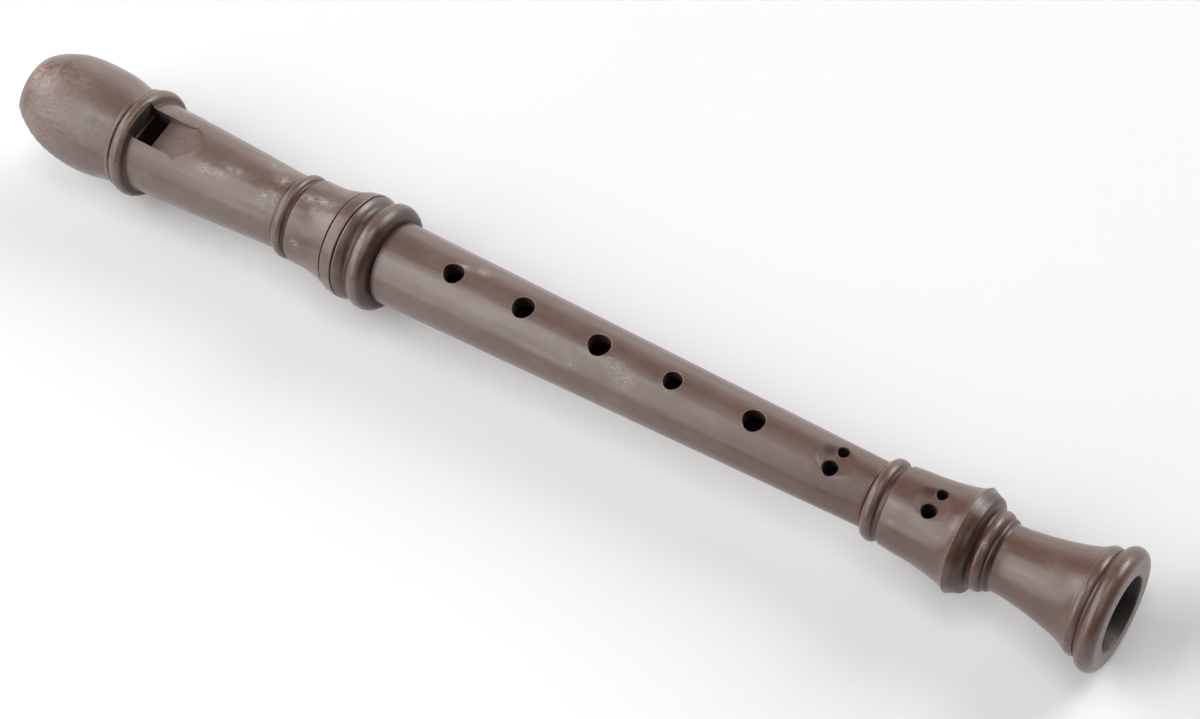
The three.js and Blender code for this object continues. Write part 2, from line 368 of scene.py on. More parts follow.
def slab(name, side_outline, half_width):
    """A solid of even width, from its outline seen from the side: a list of (x, z)."""

    def fill(shape):
        sides = (-half_width, half_width)
        capped(shape, [[shape.verts.new((x, y, z)) for x, z in side_outline] for y in sides])

    return mesh_object(name, fill)


def box(name, low, high):
    """A plain box, used as a cutter."""
    middle = (Vector(low) + Vector(high)) / 2
    size = Vector(high) - Vector(low)

    def fill(shape):
        place = Matrix.Translation(middle) @ Matrix.Diagonal((*size, 1))
        bmesh.ops.create_cube(shape, size=1, matrix=place)

    return mesh_object(name, fill)


def edge_steps(edge):
    """The rings of a cutter's round edge: how far each is out from the wall, and above the mouth.

    The first ring keeps a straight stretch of wall, and the last carries on past the mouth.
    """
    straight_wall = 0.5
    flare = 0.6
    steps = [(0, -edge - straight_wall)]
    for degrees in (0, 15, 30, 45, 60, 72):
        turn = math.radians(degrees)
        steps.append((edge * (1 - math.cos(turn)), -edge * (1 - math.sin(turn))))
    steps.append((steps[-1][0] + edge * flare, edge))
    return steps


def walled_cutter(name, plan, floor, surface, edge, side=1):
    """A cutter with upright walls on a plan outline, whose mouth opens out in a small round edge.

    plan is a list of ((x, y), (outward x, outward y)). floor and surface give the heights of the
    cutter's foot and of its mouth at a point. With side -1, it cuts from below.
    """
    # Keeps the rings apart where the mouth comes down to the foot.
    least_rise = 0.01

    def fill(shape):
        rings = [[shape.verts.new((x, y, side * floor(x, y))) for (x, y), _ in plan]]
        for i, (out, up) in enumerate(edge_steps(edge), start=1):
            ring = []
            for (x, y), (out_x, out_y) in plan:
                px, py = x + out_x * out, y + out_y * out
                height = max(surface(px, py) + up, floor(x, y) + least_rise * i)
                ring.append(shape.verts.new((px, py, side * height)))
            rings.append(ring)
        rings.append(level_ring(shape, rings[-1], side * FAR_OUT))
        capped(shape, rings)

    return mesh_object(name, fill)


def apply_modifiers(thing):
    depsgraph = bpy.context.evaluated_depsgraph_get()
    made = bpy.data.meshes.new_from_object(thing.evaluated_get(depsgraph))
    thing.modifiers.clear()
    thing.data = made


def combine(thing, operation, *others):
    """Cuts other solids from a thing, or joins them to it, and deletes them."""
    for other in others:
        modifier = thing.modifiers.new("combine", "BOOLEAN")
        modifier.object = other
        modifier.operation = operation
        modifier.solver = "EXACT"
        apply_modifiers(thing)
        bpy.data.objects.remove(other)
    return thing


def cut(thing, *cutters):
    return combine(thing, "DIFFERENCE", *cutters)


# ---- Holes and cuts ------------------------------------------------------------------------------


def round_plan(x, y, radius):
    """A circle's outline with outward directions, a little uneven as a hand-cleaned hole is."""
    plan = []
    for turn in full_turn(HOLE_SIDES):
        uneven = math.cos(2 * turn + x) + 0.6 * math.cos(3 * turn - 2 * x)
        reach = radius * (1 + HOLE_WOBBLE * uneven)
        out = (math.cos(turn), math.sin(turn))
        plan.append(((x + out[0] * reach, y + out[1] * reach), out))
    return plan


def centre_height(_x, _y):
    """The foot of a hole's cutter, which is in the middle of the bore."""
    return 0.0


def hole_cutter(x, y, radius, surface=round_surface, side=1):
    return walled_cutter("hole", round_plan(x, y, radius), centre_height, surface, HOLE_EDGE, side)


def dimple_cutter(x, surface):
    """A cutter whose underside is a dimpled surface round x, lifted by a hair for a soft edge."""
    lift = 0.02
    shares = np.linspace(0.06, 1, 16)

    def fill(shape):
        rings = []
        for share in shares:
            along, across = DIMPLE["half_length"] * share, DIMPLE["half_width"] * share
            ring = []
            for turn in full_turn(DIMPLE_SIDES):
                px, py = x + along * math.cos(turn), across * math.sin(turn)
                ring.append(shape.verts.new((px, py, surface(px, py) + lift)))
            rings.append(ring)
        rings.append(level_ring(shape, rings[-1], FAR_OUT))
        capped(shape, rings)

    return mesh_object("dimple", fill)


def double_hole_cutters(x):
    """The pair of holes for a half tone, side by side in a shallow dimple whose edge fades out."""

    def dimpled_surface(px, py):
        inside = 1 - ((px - x) / DIMPLE["half_length"]) ** 2 - (py / DIMPLE["half_width"]) ** 2
        return round_surface(px, py) - DIMPLE["depth"] * max(inside, 0) ** 2

    middle = DOUBLE_HOLE["offset"]
    reach = DOUBLE_HOLE["spacing"] / 2
    lean = DOUBLE_HOLE["lean"] / 2
    return [
        dimple_cutter(x, dimpled_surface),
        hole_cutter(x - lean, middle - reach, DOUBLE_HOLE["large"], dimpled_surface),
        hole_cutter(x + lean, middle + reach, DOUBLE_HOLE["small"], dimpled_surface),
    ]


def beak_cut_height(x):
    """The height of the hollow arc below the beak. Past its reach, nothing is cut."""
    inside = BEAK_CUT["radius"] ** 2 - (x - BEAK_CUT["centre_x"]) ** 2
    if x > BEAK_CUT["end"] or inside < 0:
        return -math.inf
    return BEAK_CUT["centre_z"] + math.sqrt(inside)


def under_beak():
    """The space below the beak, as a cutter."""
    end = BEAK_CUT["end"]
    arc = [(x, beak_cut_height(x)) for x in np.linspace(BEFORE_TIP, end, 60)]
    return slab("under_beak", arc + [(end, -FAR_OUT), (BEFORE_TIP, -FAR_OUT)], FAR_OUT)


def windway_slot(end):
    """The windway and the room for the block's raised top, as a cutter from the tip to end."""
    half = WINDWAY["half_width"]
    low = (BEFORE_TIP, -half, BLOCK_RADIUS / 2)
    return box("windway", low, (end, half, WINDWAY["ceiling"]))


def window_plan():
    """The outline of the window and its ramp from above, with outward directions."""
    half, flared = WINDOW["half_width"], RAMP["flared_half_width"]
    walls_end, flare_end = RAMP["walls_end"], RAMP["walls_end"] + RAMP["flare"]
    flare = [
        (walls_end, half),
        (walls_end + RAMP["flare"] / 2, lerp(half, flared, 0.3)),
        (flare_end, flared),
    ]
    near = [(WINDOW["start"], half)]
    near += [(x, half) for x in np.linspace(WINDOW["start"] + 0.5, walls_end - 0.5, 14)]
    near += flow(flare, 12)
    near += [(x, flared) for x in np.linspace(flare_end + 1, RAMP["end"], 8)]
    far = [(x, -y) for x, y in reversed(near)]
    outline = [Vector(point) for point in near + far]
    plan = []
    for i, point in enumerate(outline):
        along = outline[(i + 1) % len(outline)] - outline[i - 1]
        out = Vector((-along.y, along.x)).normalized()
        plan.append((tuple(point), tuple(out)))
    return plan


def ramp_height(x, _y):
    """The height of the ramp that rises from the labium to the outside."""
    share = (x - WINDOW["labium"]) / (RAMP["end"] - WINDOW["labium"])
    return lerp(WINDOW["labium_top"], RAMP["end_height"], share)


def window_cutters():
    """The ramp, the opening in front of the labium, and the space under the labium."""
    half = WINDOW["half_width"]
    low = (WINDOW["start"], -half, BLOCK_RADIUS / 2)
    return [
        walled_cutter("ramp", window_plan(), ramp_height, round_surface, WINDOW_EDGE),
        box("throat", low, (WINDOW["labium"], half, FAR_OUT)),
        box("under_labium", low, (RAMP["walls_end"], half, WINDOW["underside"])),
    ]


# ---- Pieces --------------------------------------------------------------------------------------


def smaller(a, b, blend):
    """The smaller of two numbers, with a soft change from one to the other."""
    share = max(blend - abs(a - b), 0) / blend
    return min(a, b) - share**2 * blend / 4


def beak_ring(shape, x, radius):
    """The bulb's cross-section at x: a circle whose underside is hollowed, with a soft edge.

    Each vertex is on a ray from the middle of what the hollow leaves of the circle's height.
    """
    soft_edge = 0.9
    # Where nothing is cut, the hollow is put well below the circle.
    cut_height = max(beak_cut_height(x), -radius - 5)
    centre = (radius + max(cut_height, -radius)) / 2
    ring = []
    for turn in full_turn(SIDES):
        y, z = math.sin(turn), math.cos(turn)
        reach = -centre * z + math.sqrt((centre * z) ** 2 + radius**2 - centre**2)
        if z < -0.01:
            reach = smaller(reach, (centre - cut_height) / -z, soft_edge)
        ring.append(shape.verts.new((x, y * reach, centre + z * reach)))
    return ring


def beak_cap():
    """The bulb, bored for the block and socketed for the head's spigot."""
    corner = 0.3
    outside = spaced(softened(CAP_OUTSIDE, corner, closed=False), RING_SPACING)
    socket_floor = SPIGOT["start"] - 0.3
    past_end = CAP_SEAM + 1

    def fill(shape):
        capped(shape, [beak_ring(shape, x, radius) for x, radius in outside])

    return cut(
        mesh_object("fine_beak_cap", fill),
        rod("bore", BEFORE_TIP, SPIGOT["start"], HEAD_BORE),
        rod("socket", socket_floor, past_end, SPIGOT["radius"] + FIT_GAP),
        windway_slot(past_end),
    )


def windway_block():
    """The block: a plug in the bore with a raised top, slightly rounded at the window."""
    side_gap = 0.15
    edge = 0.3
    top = WINDWAY["floor"]
    raised_top = [
        (0, 0),
        (0, top),
        (BLOCK_END - 2 * edge, top),
        (BLOCK_END - edge, top - edge / 10),
        (BLOCK_END - edge / 4, top - edge / 3),
        (BLOCK_END, top - edge),
        (BLOCK_END, top - 2 * edge),
        (BLOCK_END, 0),
    ]
    block = rod("fine_windway_block", 0, BLOCK_END, BLOCK_RADIUS)
    combine(block, "UNION", slab("raised_top", raised_top, WINDWAY["half_width"] - side_gap))
    return cut(block, under_beak())


def head_joint():
    """The head's tube and barrel, with the spigot in the beak cap and the sleeve in the rings."""
    inside = [
        (BARREL_END, SOCKET["sleeve_radius"]),
        (SOCKET["sleeve_end"], SOCKET["sleeve_radius"]),
        (SOCKET["sleeve_end"], SOCKET["radius"]),
        (SOCKET["start"], SOCKET["radius"]),
        (SOCKET["start"], HEAD_BORE),
        (SPIGOT["start"], HEAD_BORE),
        (SPIGOT["start"], SPIGOT["radius"]),
        (HEAD_START, SPIGOT["radius"]),
    ]
    head = turned("fine_head_joint", HEAD_OUTSIDE, inside)
    return cut(head, windway_slot(WINDOW["start"]), *window_cutters())


def socket_band():
    radius = SOCKET["sleeve_radius"] + FIT_GAP
    return turned("fine_socket_band", BAND_OUTSIDE, [(BAND_END, radius), (BAND_START, radius)])


def socket_ring():
    """The rings over the sleeve, with a lip that covers the sleeve's end."""
    radius = SOCKET["sleeve_radius"] + FIT_GAP
    lip = SOCKET["sleeve_end"] + 0.2
    inside = [
        (SOCKET_MOUTH, SOCKET["radius"]),
        (lip, SOCKET["radius"]),
        (lip, radius),
        (RING_START, radius),
    ]
    return turned("fine_socket_ring", RING_OUTSIDE, inside)


def groove_outline(tenon):
    """The outline of the groove that holds a tenon's cork."""
    start, end = tenon["groove"]
    return [
        (start, tenon["radius"]),
        (start, tenon["groove_radius"]),
        (end, tenon["groove_radius"]),
        (end, tenon["radius"]),
    ]


def middle_joint():
    """The body tube, with a tenon at each end, its front holes and its thumb hole."""
    upper, lower = UPPER_TENON, LOWER_TENON
    inside = [
        (BODY_END, lower["radius"]),
        *groove_outline(lower),
        (lower["end"] - lower["chamfer"], lower["radius"]),
        (lower["end"], lower["radius"] - lower["chamfer"]),
        (lower["end"], BODY_BORE[1]),
        (upper["start"], BODY_BORE[0]),
        (upper["start"], upper["radius"] - upper["chamfer"]),
        (upper["start"] + upper["chamfer"], upper["radius"]),
        *groove_outline(upper),
        (BODY_TOP, upper["radius"]),
    ]
    body = turned("fine_middle_joint", BODY_OUTSIDE, inside)
    cut(body, *(hole_cutter(x, 0, radius) for x, radius in FINGER_HOLES))
    cut(body, hole_cutter(THUMB_HOLE[0], 0, THUMB_HOLE[1], side=-1))
    return cut(body, *double_hole_cutters(BODY_DOUBLE_HOLE))


def lapping(name, tenon):
    """The cork sleeve in a tenon's groove."""
    inside = tenon["groove_radius"] + FIT_GAP
    outside = tenon["groove_radius"] + LAPPING_GAP + LAPPING_THICKNESS
    start = tenon["groove"][0] + LAPPING_GAP
    end = tenon["groove"][1] - LAPPING_GAP
    outer_face = [(start, outside), (end, outside)]
    inner_face = [(end, inside), (start, inside)]
    return turned(name, outer_face, inner_face, corner=0.35)


def foot_joint():
    """The foot: its socket, its bore, which flares into the bell, and its double hole."""
    flare = flow([(LENGTH - 0.6, 9.5), (318, 8.0), (308, 6.2), (298, FOOT_BORE)], 24)
    inside = [
        (LENGTH, BELL_BORE),
        *flare,
        (FOOT_SOCKET["end"], FOOT_BORE),
        (FOOT_SOCKET["end"], FOOT_SOCKET["radius"]),
        (FOOT_START, FOOT_SOCKET["radius"]),
    ]
    foot = turned("fine_foot_joint", FOOT_OUTSIDE, inside)
    return cut(foot, *double_hole_cutters(FOOT_DOUBLE_HOLE))


# ---- Wear and painted light, stored on the vertices ----------------------------------------------

# The plastic is mixed towards pale grey over the head and most of the body, fading out before the
# foot.
PALER_END = 268.0
PALER_FADE = 75.0

# Lines of dirt and painted shade round the recorder: (x, reach along x, strength). The narrow ones
# are the seams; the wider ones also paint shade into the deeper hollows.
DIRT_AND_SHADE_LINES = [
    (CAP_SEAM, 0.25, 1.0),
    (38.3, 0.5, 0.8),
    (85.9, 0.4, 0.7),
    (89.9, 0.4, 1.0),
    (BAND_SEAM, 0.25, 1.0),
    (RING_SEAM, 0.25, 1.0),
    (111.9, 1.7, 1.0),
    (SOCKET_MOUTH, 1.8, 1.0),
    (FOOT_SEAM, 0.25, 1.0),
    (265.2, 0.6, 1.0),
    (288.3, 1.8, 0.9),
    (293.9, 0.9, 1.0),
    (320.2, 0.8, 1.0),
]

# Each mark is (x, degrees from the top towards the player's right, radius along x, radius round,
# strength).
RUBBED_MARKS = [
    (3.0, 4, 4.5, 4.5, 1.0),
    (8.0, 6, 6.0, 6.5, 0.55),
    (14.0, -10, 8.0, 8.0, 0.3),
    (9.0, 45, 8.0, 8.0, 0.3),
]
# The first two are painted shade on the dimples' steep walls, on the beak's side of the double
# holes; the third is a stain by the socket's mouth.
SHADE_AND_STAIN_MARKS = [
    (BODY_DOUBLE_HOLE - 2.8, -14, 2.0, 1.6, 1.0),
    (FOOT_DOUBLE_HOLE - 2.8, -11, 2.2, 1.8, 0.9),
    (117.0, -35, 1.2, 3.0, 0.6),
]
SCUFF_MARKS = [
    (62.0, 20, 2.6, 1.3, 1.0),
    (66.5, 18, 2.4, 1.0, 0.9),
    (70.1, 6, 3.0, 1.2, 0.7),
    (81.0, 18, 1.6, 2.2, 1.0),
    (83.6, 15, 1.5, 1.6, 1.0),
    (82.7, -16, 2.2, 1.4, 0.8),
    (78.0, -38, 5.0, 2.0, 0.6),
    (93.5, -5, 3.2, 1.2, 0.9),
    (98.0, -8, 3.4, 1.6, 1.0),
    (94.3, 60, 1.0, 1.0, 1.2),
    (97.3, 8, 2.0, 1.2, 0.7),
    (113.9, 15, 1.2, 2.5, 0.6),
    (140.9, -17, 1.9, 0.7, 1.0),
    (145.6, -23, 1.7, 1.2, 0.9),
    (178.8, 45, 0.8, 0.7, 1.0),
    (187.6, 13, 0.8, 0.7, 1.0),
    (190.0, 22, 2.4, 2.2, 0.8),
    (193.0, 32, 2.6, 2.0, 0.9),
    (204.9, 19, 0.7, 0.6, 1.0),
    (25.0, 34, 5.0, 5.0, 0.35),
    (14.0, 40, 9.0, 9.0, 0.3),
    (269.0, 46, 0.7, 0.7, 1.0),
    (291.6, 19, 0.7, 0.8, 1.0),
    (308.5, 8, 2.6, 3.6, 0.15),
]

# How masks fade, as (where the mask is 0, where it is 1). Depths are millimetres below the outside,
# and a surface that faces straight away from the bore's centre line has facing 1.
OUTSIDE_DEPTH = (1.2, 0.6)
SHADED_DEPTH = (0.25, 0.95)
SHADED_FACING = (0.9, 0.6)
SHADED_BELL_RADIUS = (BELL_BORE, BELL_BORE - 0.25)
RIM_FIRST_DEPTH = (0, 0.03)
RIM_DEPTH_OFF = (0.14, 0.04)
GROOVE_RELIEF = (0.06, 0.66)
CREST_RELIEF = (0, 0.5)

# A rim is painted pale round this depth, as wear and as a painted highlight on its rounded edge,
# and only this near to a hole or past the window's start.
RIM_DEPTH = 0.11
RIM_REACH = 1

# The bell's mouth has its own shading from here on, and nothing on the outside is this deep.
BELL_START = 319.0
NOT_OUTSIDE_DEPTH = 3


def relief_along_bore():
    """How far the outside stands above (+) or below (-) its own neighbourhood, along x."""
    step = 0.1
    margin = 6
    widest = 4
    blur = 0.7
    places = np.arange(-margin, LENGTH + margin, step)
    radius = np.interp(places, PROFILE_X, PROFILE_RADIUS)
    offsets = np.arange(-widest, widest + step, step)
    weights = np.exp(-((offsets / blur) ** 2) / 2)
    padded = np.pad(radius, len(offsets) // 2, mode="edge")
    smooth = np.convolve(padded, weights / weights.sum(), mode="valid")
    return places, radius - smooth[: len(places)]


RELIEF_X, RELIEF = relief_along_bore()


def ramped(value, zero_at, one_at):
    """A mask that goes from 0 to 1 as the value goes from zero_at to one_at."""
    return np.clip((value - zero_at) / (one_at - zero_at), 0, 1)


def mark_mask(marks, x, angle, radius):
    """The strongest of a list of soft round marks, at each vertex."""
    mask = np.zeros(len(x))
    for mark_x, degrees, reach_x, reach_round, strength in marks:
        along = (x - mark_x) / reach_x
        turn = (angle - math.radians(degrees) + math.pi) % (2 * math.pi) - math.pi
        around = turn * radius / reach_round
        mask = np.maximum(mask, strength * np.exp(-(along**2 + around**2)))
    return mask


def dirt_and_shade_mask(x, angle, radius):
    """The lines of dirt and painted shade, and the marks of painted shade and of stain, at each
    vertex.
    """
    mask = mark_mask(SHADE_AND_STAIN_MARKS, x, angle, radius)
    for line_x, reach, strength in DIRT_AND_SHADE_LINES:
        mask = np.maximum(mask, strength * np.exp(-(((x - line_x) / reach) ** 4)))
    return mask


def rim_mask(x, depth):
    """The rims of the window and the round holes, rubbed pale and with a painted highlight, at each
    vertex.
    """
    near_cut = (x > WINDOW["start"] + RIM_REACH) & (x < RAMP["end"])
    for hole_x, hole_radius in [*FINGER_HOLES, THUMB_HOLE]:
        near_cut |= np.abs(x - hole_x) < hole_radius + RIM_REACH
    depth_off = np.abs(depth - RIM_DEPTH)
    return ramped(depth_off, *RIM_DEPTH_OFF) * ramped(depth, *RIM_FIRST_DEPTH) * near_cut


def vertex_vectors(vertices, name):
    """One vector of every vertex, as three arrays: x, y and z."""
    values = np.empty(len(vertices) * 3)
    vertices.foreach_get(name, values)
    return values.reshape(-1, 3).T


def store_wear_and_painted_light(piece):
    """Stores per vertex: dirt and painted shade in grooves, rubbed edges, painted highlights on
    rims, and painted shade where light fails to reach.
    """
    mesh = piece.data
    x, y, z = vertex_vectors(mesh.vertices, "co")
    _, normal_y, normal_z = vertex_vectors(mesh.vertex_normals, "vector")
    radius = np.hypot(y, z)
    angle = np.arctan2(-y, z)
    depth = np.interp(x, PROFILE_X, PROFILE_RADIUS) - radius
    facing = (normal_y * y + normal_z * z) / np.maximum(radius, 0.01)

    outside = ramped(depth, *OUTSIDE_DEPTH)
    # Painted shade: the bell's bore, and the deep walls of the openings that face away from the
    # outside.
    painted_bell_shade = ramped(radius, *SHADED_BELL_RADIUS)
    painted_opening_shade = ramped(depth, *SHADED_DEPTH) * ramped(facing, *SHADED_FACING)
    inside = np.where(x > BELL_START, painted_bell_shade, painted_opening_shade)
    relief = np.where((x > 1) & (x < LENGTH - 2), np.interp(x, RELIEF_X, RELIEF), 0)
    groove = ramped(-relief, *GROOVE_RELIEF) + dirt_and_shade_mask(x, angle, radius)

    # The ramp and the block's edge in the window are deep, but light reaches them.
    on_ramp = (x > WINDOW["labium"] - 0.1) & (x < RAMP["end"] + 1)
    on_ramp &= z > WINDOW["underside"] + 0.05
    # The block's edge in the window gets a painted highlight through the rim mask.
    at_block_edge = (x > BLOCK_END - 0.5) & (x < BLOCK_END + 0.1)
    at_block_edge &= (z > WINDWAY["floor"] - 0.4) & (depth > NOT_OUTSIDE_DEPTH)

    # groove holds dirt and painted shade, inside holds painted shade, and rim holds wear and a
    # painted highlight.
    values = {
        "groove": np.clip(groove, 0, 1) * outside,
        "crest": ramped(relief, *CREST_RELIEF) * outside,
        "scuff": mark_mask(SCUFF_MARKS, x, angle, radius) * outside,
        "rubbed": mark_mask(RUBBED_MARKS, x, angle, radius) * outside,
        "paler": ramped(x, PALER_END, PALER_END - PALER_FADE),
        "inside": np.where(on_ramp | at_block_edge, 0, inside),
        "rim": np.where(at_block_edge, 1, rim_mask(x, depth)),
    }
    for name, value in values.items():
        stored = mesh.attributes.new(name, "FLOAT", "POINT")
        stored.data.foreach_set("value", value.astype(np.float32))


# ---- Materials -----------------------------------------------------------------------------------


class Shader:
    """Builds a material's nodes in few words. Most methods return the socket that they make."""

    def __init__(self, name):
        self.material = bpy.data.materials.new(name)
        self.material.use_nodes = True
        self.tree = self.material.node_tree
        self.surface = next(node for node in self.tree.nodes if node.type == "BSDF_PRINCIPLED")
        self.place = self.node("ShaderNodeTexCoord").outputs["Object"]

    def node(self, kind, **settings):
        """Adds a node, and returns the node itself."""
        made = self.tree.nodes.new(kind)
        for name, value in settings.items():
            setattr(made, name, value)
        return made

    def feed(self, socket, value):
        """Joins another socket to this one, or sets a plain number or colour on it."""
        if isinstance(value, bpy.types.NodeSocket):
            self.tree.links.new(value, socket)
        else:
            socket.default_value = value

    def stretched(self, scale):
        mapping = self.node("ShaderNodeMapping")
        self.feed(mapping.inputs["Vector"], self.place)
        mapping.inputs["Scale"].default_value = scale
        return mapping.outputs["Vector"]

    def noise(self, scale, detail, roughness, place=None):
        made = self.node("ShaderNodeTexNoise")
        self.feed(made.inputs["Vector"], place or self.place)
        made.inputs["Scale"].default_value = scale
        made.inputs["Detail"].default_value = detail
        made.inputs["Roughness"].default_value = roughness
        return made.outputs["Fac"]

    def cells(self, scale):
        """The outputs of a pattern of cells: the distance from a cell's middle, and its colour."""
        made = self.node("ShaderNodeTexVoronoi")
        self.feed(made.inputs["Vector"], self.place)
        made.inputs["Scale"].default_value = scale
        return made.outputs

    def stored(self, name):
        return self.node("ShaderNodeAttribute", attribute_name=name).outputs["Fac"]

    def between(self, value, low, high, to_low=0.0, to_high=1.0):
        """A smooth change from to_low to to_high as the value goes from low to high."""
        made = self.node("ShaderNodeMapRange", interpolation_type="SMOOTHSTEP")
        self.feed(made.inputs["Value"], value)
        self.feed(made.inputs["From Min"], low)
        self.feed(made.inputs["From Max"], high)
        self.feed(made.inputs["To Min"], to_low)
        self.feed(made.inputs["To Max"], to_high)
        return made.outputs["Result"]

    def maths(self, operation, *values):
        made = self.node("ShaderNodeMath", operation=operation)
        for socket, value in zip(made.inputs, values):
            self.feed(socket, value)
        return made.outputs["Value"]

    def times(self, one, two):
        return self.maths("MULTIPLY", one, two)

    def plus(self, one, two):
        return self.maths("ADD", one, two)

    def mixed(self, share, one, two):
        """The first colour where the share is 0, and the second where it is 1."""
        made = self.node("ShaderNodeMix", data_type="RGBA")
        sockets = [socket for socket in made.inputs if socket.type == "RGBA"]
        self.feed(made.inputs["Factor"], share)
        self.feed(sockets[0], one)
        self.feed(sockets[1], two)
        return next(socket for socket in made.outputs if socket.type == "RGBA")

    def tinted(self, colour, mask, most, tint):
        """The colour, changed towards a tint by up to the share most, where the mask is 1."""
        return self.mixed(self.times(mask, most), colour, tint)

    def bumped(self, height, distance, strength, under=None):
        """A normal with bumps, in metres, on top of another bumped normal if there is one."""
        made = self.node("ShaderNodeBump")
        made.inputs["Distance"].default_value = distance
        made.inputs["Strength"].default_value = strength
        self.feed(made.inputs["Height"], height)
        if under is not None:
            self.feed(made.inputs["Normal"], under)
        return made.outputs["Normal"]


BROWN = (0.098, 0.052, 0.037, 1)
BROWN_PALE = (0.118, 0.068, 0.051, 1)
PALE_GREY = (0.45, 0.40, 0.38, 1)
# Dirt, and painted shade in the grooves.
DIRT_AND_SHADE = (0.046, 0.015, 0.009, 1)
# Pale wear, and a painted highlight on the rims.
PALE_WEAR_AND_HIGHLIGHT = (0.45, 0.30, 0.21, 1)
DRY_SCUFF = (0.42, 0.37, 0.34, 1)
BARE_TAN = (0.44, 0.30, 0.245, 1)
# Painted shade for the bore and the holes.
SHADED_BORE = (0.016, 0.008, 0.006, 1)

CORK_BROWN = (0.30, 0.165, 0.075, 1)
CORK_PALE = (0.50, 0.31, 0.165, 1)
CORK_PORE = (0.07, 0.032, 0.015, 1)

SHEET = (0.80, 0.80, 0.80, 1)
SHEET_PALE = (0.83, 0.83, 0.83, 1)


def brown_plastic():
    """Satin brown plastic, aged: clouded, paler over the head and body, scuffed, with dirt and
    painted shade in grooves, painted shade in the bore and holes, worn crests, and rims worn pale
    with a painted highlight.
    """
    shader = Shader("aged_brown_plastic")
    clouds = shader.noise(60, detail=3, roughness=0.55)
    mottle = shader.noise(420, detail=6, roughness=0.6)
    grain = shader.noise(1900, detail=4, roughness=0.6)
    streaks = shader.noise(90, detail=1, roughness=0.5, place=shader.stretched((0.6, 6, 6)))
    patchy = shader.noise(900, detail=7, roughness=0.7)
    torn = shader.noise(1500, detail=6, roughness=0.75, place=shader.stretched((0.45, 1, 1)))

    # The clean plastic, mixed a little towards pale grey over the head and body, less so towards
    # the foot.
    tone = shader.plus(shader.times(clouds, 0.6), shader.times(mottle, 0.4))
    colour = shader.mixed(shader.between(tone, 0.36, 0.64), BROWN, BROWN_PALE)
    paler = shader.times(shader.stored("paler"), shader.between(tone, 0.3, 0.7, 0.06, 0.11))
    colour = shader.mixed(paler, colour, PALE_GREY)

    # Wear: crests, the beak's rubbed patch and scuffs. The rims of the openings are worn pale and
    # carry a painted highlight.
    crest = shader.times(shader.stored("crest"), shader.between(mottle, 0.35, 0.7, 0.2, 0.8))
    rubbed = shader.times(shader.stored("rubbed"), shader.between(patchy, 0.44, 0.58, 0.15, 1.0))
    scuff = shader.times(shader.stored("scuff"), shader.between(torn, 0.43, 0.56, 0.08, 1.0))
    rim = shader.times(shader.stored("rim"), shader.between(mottle, 0.35, 0.65, 0.45, 1.0))
    colour = shader.tinted(colour, crest, 0.2, PALE_WEAR_AND_HIGHLIGHT)
    colour = shader.tinted(colour, rubbed, 0.85, BARE_TAN)
    colour = shader.tinted(colour, scuff, 0.8, DRY_SCUFF)
    colour = shader.tinted(colour, rim, 0.85, PALE_WEAR_AND_HIGHLIGHT)

    # Pale specks, each a dot in the middle of a cell, in only a few of the cells.
    specks = shader.cells(260)
    chosen = shader.maths("GREATER_THAN", specks["Color"], 0.93)
    speck = shader.times(shader.between(specks["Distance"], 0.16, 0.05), chosen)
    colour = shader.tinted(colour, speck, 0.35, DRY_SCUFF)

    # Dirt and painted shade in the grooves, and painted shade inside the bore and the holes.
    inside = shader.stored("inside")
    dirt_and_shade = shader.between(shader.plus(shader.stored("groove"), shader.times(grain, 0.4)), 0.4, 1.0)
    colour = shader.tinted(colour, dirt_and_shade, 0.9, DIRT_AND_SHADE)
    colour = shader.tinted(colour, inside, 0.97, SHADED_BORE)
    shader.feed(shader.surface.inputs["Base Color"], colour)

    roughness = shader.between(streaks, 0.3, 0.7, 0.27, 0.36)
    for mask, amount in ((scuff, 0.3), (inside, 0.28), (rubbed, 0.12), (dirt_and_shade, 0.07)):
        roughness = shader.plus(roughness, shader.times(mask, amount))
    shader.feed(shader.surface.inputs["Roughness"], roughness)

    normal = shader.bumped(mottle, distance=0.00006, strength=0.3)
    normal = shader.bumped(grain, distance=0.00001, strength=0.6, under=normal)
    normal = shader.bumped(scuff, distance=0.00004, strength=0.6, under=normal)
    shader.feed(shader.surface.inputs["Normal"], normal)
    shader.surface.inputs["IOR"].default_value = 1.58
    shader.surface.inputs["Sheen Weight"].default_value = 0.1
    shader.surface.inputs["Sheen Roughness"].default_value = 0.35
    return shader.material


def cork():
    """Tan cork with dark pores and a coarse crumbly grain."""
    shader = Shader("lapping_cork")
    grain = shader.cells(900)["Distance"]
    pores = shader.noise(700, detail=5, roughness=0.65)
    dark = shader.between(shader.noise(420, detail=6, roughness=0.7), 0.6, 0.72)
    colour = shader.mixed(shader.between(pores, 0.3, 0.7), CORK_BROWN, CORK_PALE)
    colour = shader.tinted(colour, dark, 0.8, CORK_PORE)
    shader.feed(shader.surface.inputs["Base Color"], colour)
    shader.feed(shader.surface.inputs["Roughness"], shader.between(pores, 0.3, 0.7, 0.75, 0.95))
    normal = shader.bumped(grain, distance=0.00012, strength=0.5)
    normal = shader.bumped(pores, distance=0.0001, strength=0.5, under=normal)
    shader.feed(shader.surface.inputs["Normal"], normal)
    return shader.material


def pale_floor():
    """A plain pale sheet, with the faintest unevenness."""
    shader = Shader("pale_sheet")
    cloud = shader.noise(3, detail=2, roughness=0.5)
    colour = shader.mixed(shader.between(cloud, 0.3, 0.7), SHEET, SHEET_PALE)
    shader.feed(shader.surface.inputs["Base Color"], colour)
    shader.surface.inputs["Roughness"].default_value = 0.7
    shader.surface.inputs["Specular IOR Level"].default_value = 0.2
    return shader.material


